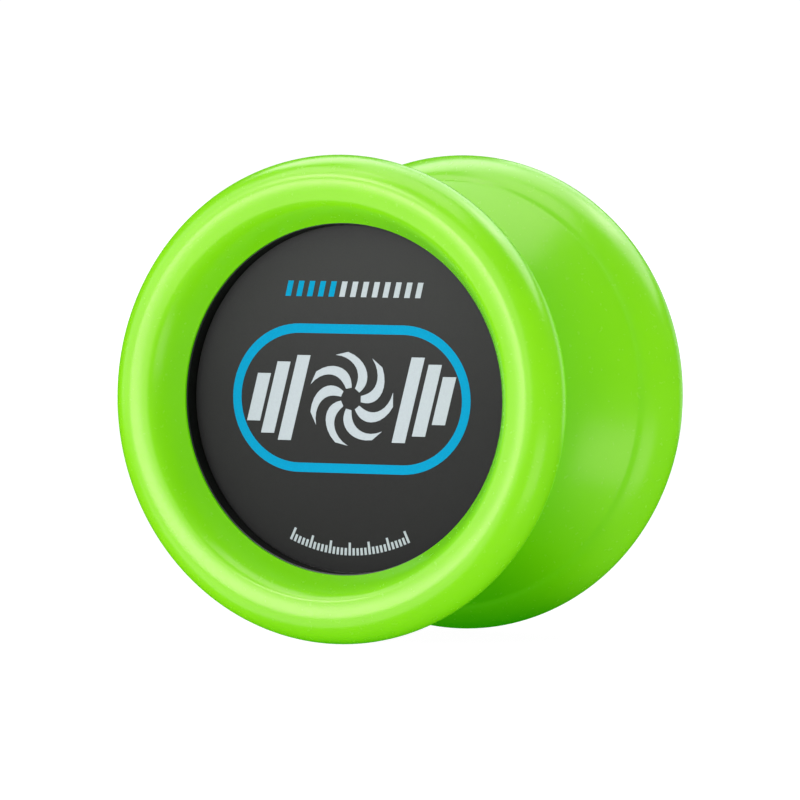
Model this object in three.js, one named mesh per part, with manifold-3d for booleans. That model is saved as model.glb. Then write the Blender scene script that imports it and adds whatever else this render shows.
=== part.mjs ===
// A butterfly yo-yo. Two flared half shells sit back to back on one threaded axle, and a
// shielded ball bearing between them carries the string.
//
// Millimetres. +Z is up and +Y is the spin axis. The origin is the middle of the axle,
// halfway between the two halves. The front half is the one on the -Y side.
//
// Each outline below is a list of points (radius, distance from the middle plane), and
// each turned piece is that outline swept around the spin axis.

import * as THREE from 'three';
import { mergeVertices } from 'three/addons/utils/BufferGeometryUtils.js';
import Module from 'manifold-3d';

const wasm = await Module();
wasm.setup();

// Whole yo-yo
const DIAMETER = 57;
const WIDTH = 41.6;
const STRING_GAP = 4.2;
const WALL = 3;

// Rim of a half shell: a flat land on the crest, then a shoulder where the dish begins
const RIM_WIDEST = 17;
const LAND_OUTER_RADIUS = 25;
const LAND_INNER_RADIUS = 24;
const SHOULDER_RADIUS = 23.3;
const SHOULDER_DROP = 0.2;
const LIP_RADIUS = 20.45;
const LIP_HEIGHT = 16.15;
const LIP_THICKNESS = 0.35;

// Band between the rim and the crease round the flared wall. A small step lies beside the
// crease, and the band leaves the step at the stated angle from the radial direction.
const CREASE_RADIUS = 25.5;
const CREASE_HEIGHT = 11.65;
const STEP_WIDTH = 0.55;
const STEP_RISE = 0.24;
const BAND_START_ANGLE = 37;

// Flared wall: it leaves the flat face beside the bearing at one slope and reaches the
// crease at the other.
const FACE_RADIUS = 10.6;
const FLARE_START_SLOPE = 0.25;
const FLARE_END_SLOPE = 1.28;

// Seat of the side cap
const CAP_GROOVE_RADIUS = 21.05;
const CAP_LEDGE_RADIUS = 19.2;
const CAP_LEDGE_HEIGHT = 11.8;

// Hub of a half shell
const BORE_RADIUS = 2.25;
const SPACER_POCKET_RADIUS = 4.85;
const SPACER_POCKET_FLOOR = 4.05;
const BEARING_SEAT_RADIUS = 6.85;
const BEARING_SEAT_FLOOR = 2.85;
const PAD_GROOVE_INNER = 7.3;
const PAD_GROOVE_OUTER = 9.65;
const PAD_GROOVE_FLOOR = 3.2;
const BOSS_RADIUS = 6.55;
const BOSS_END = 10.2;
const NUT_POCKET_FLOOR = 6.5;

// Side cap and its printed label
const CAP_RADIUS = 20.9;
const CAP_INNER_RADIUS = 20.4;
const CAP_THICKNESS = 1.6;
const CAP_FILLET = 0.1;
const LABEL_RADIUS = 20.3;
const LABEL_HEIGHT = 13.75;

// Fasteners: an M4 threaded axle and a captive hexagon nut in each half
const AXLE_RADIUS = 1.98;
const AXLE_LENGTH = 20;
const AXLE_CHAMFER = 0.4;
const AXLE_SOCKET_FLATS = 2;
const AXLE_SOCKET_DEPTH = 2.2;
const NUT_FLATS = 7;
const NUT_THICKNESS = 3.2;
const NUT_BORE_RADIUS = 2.06;

// Ball bearing, 1/4 in bore, 1/2 in outside, 3/16 in wide
const BEARING_BORE_RADIUS = 3.175;
const BEARING_RADIUS = 6.35;
const BEARING_WIDTH = 4.76;
const PITCH_RADIUS = 4.76;
const BALL_RADIUS = 0.79;
const BALL_COUNT = 8;
const RACE_GROOVE_RADIUS = 0.83;
const INNER_SHOULDER_RADIUS = 4.2;
const OUTER_SHOULDER_RADIUS = 5.32;
const SHIELD_STEP_RADIUS = 5.8;
const SHIELD_STEP_HEIGHT = 1.68;

// Clearances
const FIT = 0.05;
const SEAT_GAP = 0.03;

// Facets around each kind of piece
const SHELL_FACETS = 48;
const RING_FACETS = 32;
const SMALL_FACETS = 24;
const BALL_FACETS = 10;

const shellPlastic = { color: 0x6bd600, roughness: 0.32, metalness: 0 };
const capPlastic = { color: 0x050505, roughness: 0.45, metalness: 0 };
const labelFilm = { color: 0x3a3c3a, roughness: 0.6, metalness: 0 };
const axleSteel = { color: 0x8d8f92, roughness: 0.35, metalness: 1 };
const nutSteel = { color: 0xa8a9a6, roughness: 0.4, metalness: 1 };
const spacerAluminium = { color: 0xb9bcc0, roughness: 0.35, metalness: 1 };
const bearingSteel = { color: 0xc4c7ca, roughness: 0.18, metalness: 1 };
const cageSteel = { color: 0x9b9d9f, roughness: 0.4, metalness: 1 };
const padSilicone = { color: 0xe9ece6, roughness: 0.7, metalness: 0 };

const point = (radius, height) => new THREE.Vector2(radius, height);
const points = (pairs) => pairs.map(([radius, height]) => point(radius, height));

// Points of an elliptical arc, with the angles in degrees from the radial direction.
function arc(centre, radii, from, to, steps) {
  return Array.from({ length: steps + 1 }, (_, i) => {
    const angle = THREE.MathUtils.degToRad(from + ((to - from) * i) / steps);
    return point(centre[0] + radii[0] * Math.cos(angle), centre[1] + radii[1] * Math.sin(angle));
  });
}

// A closed mesh with shared corners, no empty triangles and its faces pointing out.
function closed(geometry) {
  const bare = geometry.index ? geometry.clone() : geometry;
  bare.deleteAttribute('normal');
  bare.deleteAttribute('uv');
  const merged = mergeVertices(bare);
  const corners = merged.index.array;
  const kept = [];
  for (let i = 0; i < corners.length; i += 3) {
    const [a, b, c] = corners.slice(i, i + 3);
    if (a !== b && b !== c && c !== a) kept.push(a, b, c);
  }
  merged.setIndex(signedVolume(merged, kept) < 0 ? kept.reverse() : kept);
  return merged;
}

function signedVolume(geometry, index) {
  const corner = (i) => new THREE.Vector3().fromBufferAttribute(geometry.attributes.position, i);
  let volume = 0;
  for (let i = 0; i < index.length; i += 3) {
    volume += corner(index[i]).dot(corner(index[i + 1]).cross(corner(index[i + 2]))) / 6;
  }
  return volume;
}

// An outline turned around the spin axis, with a flat facing straight up, down and to each
// side. With flatsOnRadius the flats lie on the stated radius, otherwise the corners do.
function turned(outline, facets, flatsOnRadius = false) {
  const stretch = flatsOnRadius ? 1 / Math.cos(Math.PI / facets) : 1;
  const ring = outline.map((p) => point(p.x * stretch, p.y));
  const onAxis = ring[0].x === 0 && ring.at(-1).x === 0;
  if (!onAxis) ring.push(ring[0].clone());
  return closed(new THREE.LatheGeometry(ring, facets, Math.PI / facets));
}

function toManifold(geometry) {
  const { position } = geometry.attributes;
  return new wasm.Manifold(new wasm.Mesh({
    numProp: 3,
    vertProperties: new Float32Array(position.array),
    triVerts: new Uint32Array(geometry.index.array),
  }));
}

function cut(geometry, cutters) {
  let body = toManifold(geometry);
  for (const cutter of cutters) body = body.subtract(toManifold(closed(cutter)));
  const mesh = body.getMesh();
  const result = new THREE.BufferGeometry();
  result.setAttribute('position', new THREE.BufferAttribute(mesh.vertProperties, 3));
  result.setIndex(new THREE.BufferAttribute(mesh.triVerts, 1));
  return result;
}

// A hexagonal prism along the spin axis, from one height to another.
function hexagon(flats, from, to) {
  const prism = new THREE.CylinderGeometry(flats / Math.sqrt(3), flats / Math.sqrt(3), to - from, 6);
  return prism.translate(0, (from + to) / 2, 0);
}

// The flared wall on the string side, as one curve from the flat face to the crease.
function flareCurve() {
  const face = point(FACE_RADIUS, STRING_GAP / 2);
  const crease = point(CREASE_RADIUS, CREASE_HEIGHT);
  const rise = crease.y - face.y - FLARE_START_SLOPE * (crease.x - face.x);
  const run = rise / (FLARE_END_SLOPE - FLARE_START_SLOPE);
  const bend = point(crease.x - run, crease.y - FLARE_END_SLOPE * run);
  return new THREE.QuadraticBezierCurve(face, bend, crease);
}

// The full band from the step beside the crease out to the widest part of the rim.
function bandCurve() {
  const step = point(CREASE_RADIUS + STEP_WIDTH, CREASE_HEIGHT + STEP_RISE);
  const start = THREE.MathUtils.degToRad(BAND_START_ANGLE);
  const reach = 1.3;
  return new THREE.CubicBezierCurve(
    step,
    point(step.x + reach * Math.cos(start), step.y + reach * Math.sin(start)),
    point(DIAMETER / 2, RIM_WIDEST - 1.95),
    point(DIAMETER / 2, RIM_WIDEST),
  );
}

// The side of the dish from the shoulder of the rim down to the lip over the cap.
function dishCurve() {
  return new THREE.CubicBezierCurve(
    point(SHOULDER_RADIUS, WIDTH / 2 - SHOULDER_DROP),
    point(SHOULDER_RADIUS - 0.87, WIDTH / 2 - 0.43),
    point(LIP_RADIUS + 1.3, LIP_HEIGHT + 2.45),
    point(LIP_RADIUS, LIP_HEIGHT),
  );
}

// The cup side of the flared wall, a wall's thickness away, from near the ledge to the hub.
function cupWall(steps) {
  const flare = flareCurve();
  const ledgeEnd = 0.5;
  return Array.from({ length: steps + 1 }, (_, i) => {
    const t = ledgeEnd * (1 - i / steps);
    const along = flare.getTangent(t);
    return flare.getPoint(t).add(point(-along.y, along.x).multiplyScalar(WALL));
  });
}

function shellOutline() {
  const face = STRING_GAP / 2;
  const crest = WIDTH / 2;
  const rimRadii = [DIAMETER / 2 - LAND_OUTER_RADIUS, crest - RIM_WIDEST];
  const cup = cupWall(3);
  return [
    ...points([
      [BORE_RADIUS, BOSS_END],
      [BORE_RADIUS, SPACER_POCKET_FLOOR],
      [SPACER_POCKET_RADIUS, SPACER_POCKET_FLOOR],
      [SPACER_POCKET_RADIUS, BEARING_SEAT_FLOOR],
      [BEARING_SEAT_RADIUS, BEARING_SEAT_FLOOR],
      [BEARING_SEAT_RADIUS, face],
      [PAD_GROOVE_INNER, face],
      [PAD_GROOVE_INNER, PAD_GROOVE_FLOOR],
      [PAD_GROOVE_OUTER, PAD_GROOVE_FLOOR],
      [PAD_GROOVE_OUTER, face],
    ]),
    ...flareCurve().getPoints(7),
    ...bandCurve().getPoints(4).slice(0, -1),
    ...arc([LAND_OUTER_RADIUS, RIM_WIDEST], rimRadii, 0, 90, 5),
    point(LAND_INNER_RADIUS, crest),
    ...dishCurve().getPoints(5),
    ...points([
      [LIP_RADIUS, LIP_HEIGHT - LIP_THICKNESS],
      [CAP_GROOVE_RADIUS, LIP_HEIGHT - LIP_THICKNESS],
      [CAP_GROOVE_RADIUS, CAP_LEDGE_HEIGHT],
      [CAP_LEDGE_RADIUS, CAP_LEDGE_HEIGHT],
    ]),
    ...cup,
    point(BOSS_RADIUS, cup.at(-1).y),
    point(BOSS_RADIUS, BOSS_END),
  ];
}

function halfShell() {
  const pocket = hexagon(NUT_FLATS + 2 * FIT, NUT_POCKET_FLOOR, BOSS_END + 1);
  return cut(turned(shellOutline(), SHELL_FACETS, true), [pocket]);
}

// The dished cap that closes a half shell: a flat floor with a skirt that snaps under the lip.
function sideCap() {
  const bottom = CAP_LEDGE_HEIGHT + 2 * FIT;
  const floor = bottom + CAP_THICKNESS;
  const top = LIP_HEIGHT - LIP_THICKNESS - 2 * FIT;
  return turned(points([
    [0, bottom],
    [CAP_RADIUS, bottom],
    [CAP_RADIUS, top],
    [CAP_INNER_RADIUS, top],
    [CAP_INNER_RADIUS, floor + CAP_FILLET],
    [CAP_INNER_RADIUS - CAP_FILLET, floor],
    [0, floor],
  ]), SHELL_FACETS, true);
}

function capLabel() {
  const bottom = CAP_LEDGE_HEIGHT + 2 * FIT + CAP_THICKNESS + SEAT_GAP;
  return turned(points([
    [0, bottom],
    [LABEL_RADIUS, bottom],
    [LABEL_RADIUS, LABEL_HEIGHT],
    [0, LABEL_HEIGHT],
  ]), SHELL_FACETS, true);
}

function hubNut() {
  const bottom = NUT_POCKET_FLOOR + FIT;
  const top = bottom + NUT_THICKNESS;
  const bore = new THREE.CylinderGeometry(NUT_BORE_RADIUS, NUT_BORE_RADIUS, top + 2, SMALL_FACETS);
  return cut(closed(hexagon(NUT_FLATS, bottom, top)), [bore.translate(0, top / 2, 0)]);
}

// The flanged seat that clamps the bearing's inner race and centres it in a half.
function bearingSpacer() {
  const shoulder = BEARING_WIDTH / 2 + SEAT_GAP;
  const back = SPACER_POCKET_FLOOR - 0.08;
  return turned(points([
    [2.1, 0.2],
    [2.95, 0.2],
    [3.12, 0.4],
    [3.12, shoulder],
    [4.1, shoulder],
    [4.1, BEARING_SEAT_FLOOR + 0.1],
    [4.7, BEARING_SEAT_FLOOR + 0.1],
    [4.7, back],
    [2.1, back],
  ]), SMALL_FACETS);
}

// The soft ring beside the bearing that grips the string; it stands a little proud.
function responsePad() {
  const face = STRING_GAP / 2;
  return turned(points([
    [PAD_GROOVE_INNER + 0.1, face + 0.05],
    [PAD_GROOVE_INNER + 0.3, face - 0.03],
    [PAD_GROOVE_OUTER - 0.25, face - 0.03],
    [PAD_GROOVE_OUTER - 0.05, face + 0.05],
    [PAD_GROOVE_OUTER - 0.05, PAD_GROOVE_FLOOR - FIT],
    [PAD_GROOVE_INNER + 0.1, PAD_GROOVE_FLOOR - FIT],
  ]), RING_FACETS);
}

function axle() {
  const end = AXLE_LENGTH / 2;
  const stud = turned(points([
    [0, -end],
    [AXLE_RADIUS - AXLE_CHAMFER, -end],
    [AXLE_RADIUS, AXLE_CHAMFER - end],
    [AXLE_RADIUS, end - AXLE_CHAMFER],
    [AXLE_RADIUS - AXLE_CHAMFER, end],
    [0, end],
  ]), SMALL_FACETS);
  return cut(stud, [hexagon(AXLE_SOCKET_FLATS, -end - 1, -end + AXLE_SOCKET_DEPTH)]);
}

// Half the width, along the spin axis, of a ball groove where it meets a shoulder.
const grooveHalfWidth = (shoulder) => Math.sqrt(RACE_GROOVE_RADIUS ** 2 - (PITCH_RADIUS - shoulder) ** 2);

// The ball groove of a race, as an arc round the centre of a ball.
function grooveArc(shoulder, facing) {
  const half = THREE.MathUtils.radToDeg(Math.asin(grooveHalfWidth(shoulder) / RACE_GROOVE_RADIUS));
  const radii = [facing * RACE_GROOVE_RADIUS, RACE_GROOVE_RADIUS];
  return arc([PITCH_RADIUS, 0], radii, -half, half, 4);
}

function innerRace() {
  const side = BEARING_WIDTH / 2;
  return turned([
    ...points([
      [BEARING_BORE_RADIUS, side],
      [BEARING_BORE_RADIUS, -side],
      [INNER_SHOULDER_RADIUS, -side],
    ]),
    ...grooveArc(INNER_SHOULDER_RADIUS, -1),
    point(INNER_SHOULDER_RADIUS, side),
  ], RING_FACETS);
}

function outerRace() {
  const side = BEARING_WIDTH / 2;
  return turned([
    ...points([
      [BEARING_RADIUS, side],
      [BEARING_RADIUS, -side],
      [SHIELD_STEP_RADIUS, -side],
      [SHIELD_STEP_RADIUS, -SHIELD_STEP_HEIGHT],
      [OUTER_SHOULDER_RADIUS, -SHIELD_STEP_HEIGHT],
    ]),
    ...grooveArc(OUTER_SHOULDER_RADIUS, 1),
    ...points([
      [OUTER_SHOULDER_RADIUS, SHIELD_STEP_HEIGHT],
      [SHIELD_STEP_RADIUS, SHIELD_STEP_HEIGHT],
      [SHIELD_STEP_RADIUS, side],
    ]),
  ], RING_FACETS, true);
}

const ballAngle = (i) => (2 * Math.PI * (i + 0.5)) / BALL_COUNT;

function ballAt(radius, i, facets) {
  const ball = new THREE.SphereGeometry(radius, facets, facets - 2);
  const angle = ballAngle(i);
  return ball.translate(PITCH_RADIUS * Math.sin(angle), 0, PITCH_RADIUS * Math.cos(angle));
}

// The crown cage: a ring whose ball pockets open on one side.
function bearingCage() {
  const ring = turned(points([
    [4.45, -0.45],
    [5.07, -0.45],
    [5.07, 1.15],
    [4.45, 1.15],
  ]), RING_FACETS);
  const pockets = Array.from({ length: BALL_COUNT }, (_, i) => ballAt(0.88, i, BALL_FACETS));
  return cut(ring, pockets);
}

function bearingShield() {
  const inside = SHIELD_STEP_HEIGHT + 0.07;
  return turned(points([
    [4.35, inside],
    [5.74, inside],
    [5.74, inside + 0.2],
    [4.35, inside + 0.2],
  ]), RING_FACETS);
}

// The open spring ring that holds a shield in its step.
function shieldClip() {
  const opening = THREE.MathUtils.degToRad(12);
  const ring = new THREE.Shape();
  ring.absarc(0, 0, 5.75, opening, 2 * Math.PI - opening, false);
  ring.absarc(0, 0, 5.5, 2 * Math.PI - opening, opening, true);
  const thickness = 0.3;
  const clip = new THREE.ExtrudeGeometry(ring, { depth: thickness, bevelEnabled: false, curveSegments: 14 });
  const inside = SHIELD_STEP_HEIGHT + 0.3;
  return closed(clip.rotateX(Math.PI / 2).translate(0, inside + thickness, 0));
}

function piece(name, geometry, look) {
  const mesh = new THREE.Mesh(geometry, new THREE.MeshStandardMaterial(look));
  mesh.name = name;
  return mesh;
}

const yoyo = new THREE.Group();

// The two halves are the same; the front one is turned half a turn about +Z.
for (const [side, turn] of [['rear', 0], ['front', Math.PI]]) {
  const half = new THREE.Group();
  half.rotation.z = turn;
  half.add(piece(`${side}_half_shell`, halfShell(), shellPlastic));
  half.add(piece(`${side}_side_cap`, sideCap(), capPlastic));
  half.add(piece(`${side}_cap_label`, capLabel(), labelFilm));
  half.add(piece(`${side}_hub_nut`, hubNut(), nutSteel));
  half.add(piece(`${side}_bearing_spacer`, bearingSpacer(), spacerAluminium));
  half.add(piece(`${side}_response_pad`, responsePad(), padSilicone));
  half.add(piece(`${side}_bearing_shield`, bearingShield(), bearingSteel));
  half.add(piece(`${side}_shield_clip`, shieldClip(), bearingSteel));
  yoyo.add(half);
}

yoyo.add(piece('axle', axle(), axleSteel));
yoyo.add(piece('bearing_inner_race', innerRace(), bearingSteel));
yoyo.add(piece('bearing_outer_race', outerRace(), bearingSteel));
yoyo.add(piece('bearing_cage', bearingCage(), cageSteel));
for (let i = 0; i < BALL_COUNT; i += 1) {
  yoyo.add(piece(`bearing_ball_${i + 1}`, closed(ballAt(BALL_RADIUS, i, BALL_FACETS)), bearingSteel));
}

export default yoyo;
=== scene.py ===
"""A lime green butterfly yo-yo in a plain white studio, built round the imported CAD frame."""
import math

import bmesh
import bpy
from mathutils import Matrix, Vector


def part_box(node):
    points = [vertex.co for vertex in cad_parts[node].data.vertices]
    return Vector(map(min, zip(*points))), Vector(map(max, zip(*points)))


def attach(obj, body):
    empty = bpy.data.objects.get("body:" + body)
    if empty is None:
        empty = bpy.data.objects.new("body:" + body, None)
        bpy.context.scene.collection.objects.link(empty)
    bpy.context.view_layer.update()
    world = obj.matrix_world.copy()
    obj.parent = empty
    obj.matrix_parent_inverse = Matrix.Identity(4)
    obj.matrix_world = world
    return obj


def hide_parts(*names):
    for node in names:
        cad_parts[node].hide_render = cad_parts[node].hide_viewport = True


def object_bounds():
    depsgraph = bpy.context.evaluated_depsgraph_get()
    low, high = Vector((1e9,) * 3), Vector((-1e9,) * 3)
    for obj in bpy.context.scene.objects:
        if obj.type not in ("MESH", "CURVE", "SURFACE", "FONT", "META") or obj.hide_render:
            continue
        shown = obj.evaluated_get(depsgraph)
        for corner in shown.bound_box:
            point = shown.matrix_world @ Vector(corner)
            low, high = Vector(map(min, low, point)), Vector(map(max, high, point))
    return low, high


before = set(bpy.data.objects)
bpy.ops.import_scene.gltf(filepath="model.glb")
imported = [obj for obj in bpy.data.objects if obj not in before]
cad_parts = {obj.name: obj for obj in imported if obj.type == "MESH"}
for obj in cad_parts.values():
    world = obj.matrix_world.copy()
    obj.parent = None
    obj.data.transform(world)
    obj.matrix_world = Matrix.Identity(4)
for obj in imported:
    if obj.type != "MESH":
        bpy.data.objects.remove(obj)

CAD_LOW, CAD_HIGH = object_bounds()
MM = 0.001

# Outlines are in millimetres: (radius, distance from the middle plane). Each turned piece
# is modelled for the rear half, on the +Y side; the front half is the same, turned about Z.


def box_mm(node):
    """Lowest and highest corner of a CAD node, in millimetres."""
    low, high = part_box(node)
    return low / MM, high / MM


SHELL_LOW, SHELL_HIGH = box_mm("rear_half_shell")
CAP_LOW, CAP_HIGH = box_mm("rear_side_cap")
LABEL_LOW, LABEL_HIGH = box_mm("rear_cap_label")
NUT_LOW, NUT_HIGH = box_mm("rear_hub_nut")
SPACER_LOW, SPACER_HIGH = box_mm("rear_bearing_spacer")
PAD_LOW, PAD_HIGH = box_mm("rear_response_pad")
SHIELD_LOW, SHIELD_HIGH = box_mm("rear_bearing_shield")
CLIP_LOW, CLIP_HIGH = box_mm("rear_shield_clip")
AXLE_LOW, AXLE_HIGH = box_mm("axle")
RACE_HIGH = box_mm("bearing_outer_race")[1]

RIM_RADIUS = SHELL_HIGH.x
CREST = SHELL_HIGH.y
FACE = SHELL_LOW.y

# The lengths below are in millimetres.

# Rim, dish and lip of a half shell
RIM_WIDEST = 17.0
CREST_RADIUS = 25.35
CROWN_WIDTH = 1.85
CROWN_DROP = 0.22
LIP_RADIUS = 20.55
LIP_HEIGHT = 16.15
LIP_THICKNESS = 0.35

# Flared wall, soft crease and band of a half shell; the slopes are ratios, and the two shares
# are of the flared wall
FACE_RADIUS = 10.6
FLARE_START_SLOPE = 0.25
FLARE_END_SLOPE = 1.28
CREASE_RADIUS = 25.5
CREASE_HEIGHT = 11.65
CREASE_START_SHARE = 0.988
CREASE_WIDTH = 0.3
CREASE_RISE = 0.15
BAND_START_PULL = (1.2, 0.6)
BAND_END_PULL = 1.95
WALL = 3.0
CUP_SHARE = 0.5

# Seat of the cap
CAP_GROOVE_RADIUS = 21.05
CAP_LEDGE_RADIUS = 19.2
CAP_LEDGE_HEIGHT = 11.8

# Hub, and the small rounding of its mouths
HUB_ROUND = 0.1
BORE = 2.25
SPACER_POCKET_RADIUS = 4.85
SPACER_POCKET_FLOOR = 4.05
SEAT_RADIUS = 6.85
SEAT_FLOOR = 2.85
PAD_GROOVE = (7.3, 9.65)
PAD_GROOVE_FLOOR = 3.2
PAD_INNER_GAP = 0.1
PAD_OUTER_GAP = 0.05
BOSS_RADIUS = 6.55
BOSS_END = 10.2
NUT_POCKET_FLOOR = 6.5
NUT_POCKET_FLATS = 7.1

# Cap and label
CAP_INNER_RADIUS = 20.4
LABEL_GAP = 0.03
CAP_FLOOR = LABEL_LOW.y - LABEL_GAP
LABEL_RADIUS = 20.3
LABEL_EDGE = 0.03
INK_THICKNESS = 0.02
INK_BITE = 0.005

# Label print: the capsule frame
FRAME_HALF_WIDTH = 15.4
FRAME_RADIUS = 8.7
FRAME_BAND = 1.1

# The pinwheel; a blade's start is a share of the radius, its widths are shares of the space
# between blades, and its curl is in radians
PINWHEEL_RADIUS = 5.5
BLADE_COUNT = 7
BLADE_START = 0.24
BLADE_CURL = 0.9
BLADE_ROOT_WIDTH = 0.62
BLADE_TIP_WIDTH = 0.34

# The bars either side, as (distance from the centre, half height); the lean is a slope
BAR_WIDTH = 1.7
BAR_LEAN = 0.25
BARS = ((7.4, 5.0), (9.8, 4.2), (12.0, 2.8))

# The dashes above, and the ticks below with their spacing in degrees and width in radians
DASH_COUNT = 13
BLUE_DASHES = 5
DASH_PITCH = 1.4
DASH_OFFSET = 0.25
DASH_WIDTH = 0.7
DASH_BOTTOM = 11.9
DASH_TOP = 13.7
DASH_LEAN = 0.4
TICK_RADIUS = 18.3
TICK_SPACING = 1.65
TICK_HALF_ANGLE = 0.0085
TICKS_EACH_SIDE = 15
LONG_TICK = 1.5
SHORT_TICK = 0.85

# Bearing; half the clip's opening is in degrees
PITCH_RADIUS = 4.76
BALL_RADIUS = 0.79
BALL_COUNT = 8
INNER_RACE_BORE = 3.175
INNER_SHOULDER = 4.2
OUTER_SHOULDER = 5.32
SHIELD_STEP_RADIUS = 5.8
SHIELD_STEP_HEIGHT = 1.68
RACE_GROOVE = 0.83
SHIELD_BORE = 4.35
SHIELD_RADIUS = 5.74
SHIELD_DISH_RADIUS = 4.75
SHIELD_DISH = 0.06
CLIP_INNER_RADIUS = 5.5
CLIP_OUTER_RADIUS = 5.75
CLIP_HALF_OPENING = 12
CAGE_INNER_RADIUS = 4.45
CAGE_OUTER_RADIUS = 5.07
CAGE_FRONT = -0.45
CAGE_BACK = 1.15
CAGE_POCKET = 0.88

# Spacers and fasteners; the slope of the nut's chamfer is a ratio
SPACER_BORE = 2.1
SPACER_NECK = 3.12
SPACER_SHOULDER = 4.1
SPACER_HEAD = 4.7
SPACER_RACE_GAP = 0.03
SPACER_SEAT_GAP = 0.1
AXLE_RADIUS = 1.98
AXLE_CHAMFER = 0.4
SOCKET_FLATS = 2.0
SOCKET_DEPTH = 2.2
SOCKET_POINT = 0.5
SOCKET_CHAMFER_WIDTH = 0.12
SOCKET_CHAMFER_DEPTH = 0.15
NUT_BORE = 2.06
NUT_COUNTERSINK = 0.25
NUT_WASHER_INSET = 0.1
NUT_CHAMFER_STEPS = (0.08, 0.16, 0.24, 0.32)
NUT_CHAMFER_SLOPE = 1.7

# Threads; crest and flank are shares of half the pitch
THREAD_PITCH = 0.7
THREAD_DEPTH = 0.38
NUT_THREAD_DEPTH = 0.3
THREAD_CREST = 0.12
THREAD_FLANK = 0.7
ROWS_A_TURN = 10

SHELL_SEGMENTS = 180
HUB_SEGMENTS = 96
THREAD_SEGMENTS = 48


# ---------------------------------------------------------------- outlines

def quadratic(start, bend, end, steps):
    """Points of a quadratic curve, both ends included."""
    found = []
    for i in range(steps + 1):
        t = i / steps
        weights = ((1 - t) ** 2, 2 * t * (1 - t), t * t)
        found.append(tuple(sum(w * p[k] for w, p in zip(weights, (start, bend, end))) for k in (0, 1)))
    return found


def cubic(start, first, second, end, steps):
    """Points of a cubic curve, both ends included."""
    found = []
    for i in range(steps + 1):
        t = i / steps
        weights = ((1 - t) ** 3, 3 * t * (1 - t) ** 2, 3 * t * t * (1 - t), t ** 3)
        corners = (start, first, second, end)
        found.append(tuple(sum(w * p[k] for w, p in zip(weights, corners)) for k in (0, 1)))
    return found


def arc(centre, radii, start, end, steps):
    """Points of an elliptical arc; angles in degrees from the radial direction."""
    found = []
    for i in range(steps + 1):
        angle = math.radians(start + (end - start) * i / steps)
        found.append((centre[0] + radii[0] * math.cos(angle), centre[1] + radii[1] * math.sin(angle)))
    return found


def filleted(corners, step=18.0):
    """A closed outline whose corners are (radius, height, fillet). Each fillet becomes an arc of
    steps no larger than step, in degrees, and a point beyond each end keeps its flats even."""
    beyond = 1.25
    found = []
    for i, corner in enumerate(corners):
        here = Vector(corner[:2])
        size = corner[2] if len(corner) > 2 else 0
        if not size:
            found.append(tuple(here))
            continue
        back = (Vector(corners[i - 1][:2]) - here).normalized()
        ahead = (Vector(corners[(i + 1) % len(corners)][:2]) - here).normalized()
        opening = back.angle(ahead)
        reach = size / math.tan(opening / 2)
        centre = here + (back + ahead).normalized() * (size / math.sin(opening / 2))
        first = here + back * reach - centre
        turn = math.pi - opening
        if back.x * ahead.y - back.y * ahead.x > 0:
            turn = -turn
        steps = max(2, math.ceil(abs(math.degrees(turn)) / step))
        found.append(tuple(here + back * reach * beyond))
        for k in range(steps + 1):
            angle = turn * k / steps
            spun = Vector((
                first.x * math.cos(angle) - first.y * math.sin(angle),
                first.x * math.sin(angle) + first.y * math.cos(angle),
            ))
            found.append(tuple(centre + spun))
        found.append(tuple(here + ahead * reach * beyond))
    return found


def hexagon(flats):
    """The radius, by angle from +Z, of a hexagon with a corner at +Z."""
    def radius(angle):
        return flats / 2 / math.cos(angle % (math.pi / 3) - math.pi / 6)
    return radius


# ---------------------------------------------------------------- meshes

def finished_mesh(bm, name, sharp_angle=35):
    """The mesh of bm, with faces out, smooth but for edges sharper than the angle in degrees."""
    bmesh.ops.recalc_face_normals(bm, faces=bm.faces)
    mesh = bpy.data.meshes.new(name)
    bm.to_mesh(mesh)
    bm.free()
    mesh.polygons.foreach_set("use_smooth", [True] * len(mesh.polygons))
    mesh.set_sharp_from_angle(angle=math.radians(sharp_angle))
    return mesh


def turned(name, rows, segments, sharp_angle=35):
    """A closed mesh turned round the spin axis. A row is (radius, height) in millimetres, and
    its radius may be a function of the angle. Rows of radius 0 at both ends close on the axis."""
    bm = bmesh.new()
    rings = []
    for radius, height in rows:
        if radius == 0:
            rings.append([bm.verts.new((0, height * MM, 0))] * segments)
            continue
        ring = []
        for i in range(segments):
            angle = 2 * math.pi * i / segments
            r = radius(angle) if callable(radius) else radius
            ring.append(bm.verts.new((r * math.sin(angle) * MM, height * MM, r * math.cos(angle) * MM)))
        rings.append(ring)
    pairs = list(zip(rings, rings[1:]))
    if rows[0][0] != 0:
        pairs.append((rings[-1], rings[0]))
    for low, high in pairs:
        for i in range(segments):
            j = (i + 1) % segments
            corners = list(dict.fromkeys((low[i], low[j], high[j], high[i])))
            if len(corners) > 2:
                bm.faces.new(corners)
    return finished_mesh(bm, name, sharp_angle)


def swept_section(name, section, angles):
    """A closed (radius, height) section carried round the spin axis through the angles, with flat ends."""
    bm = bmesh.new()
    rings = []
    for angle in angles:
        rings.append([
            bm.verts.new((r * math.sin(angle) * MM, h * MM, r * math.cos(angle) * MM))
            for r, h in section
        ])
    count = len(section)
    for low, high in zip(rings, rings[1:]):
        for i in range(count):
            j = (i + 1) % count
            bm.faces.new((low[i], low[j], high[j], high[i]))
    bm.faces.new(rings[0])
    bm.faces.new(rings[-1])
    return finished_mesh(bm, name)


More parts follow.
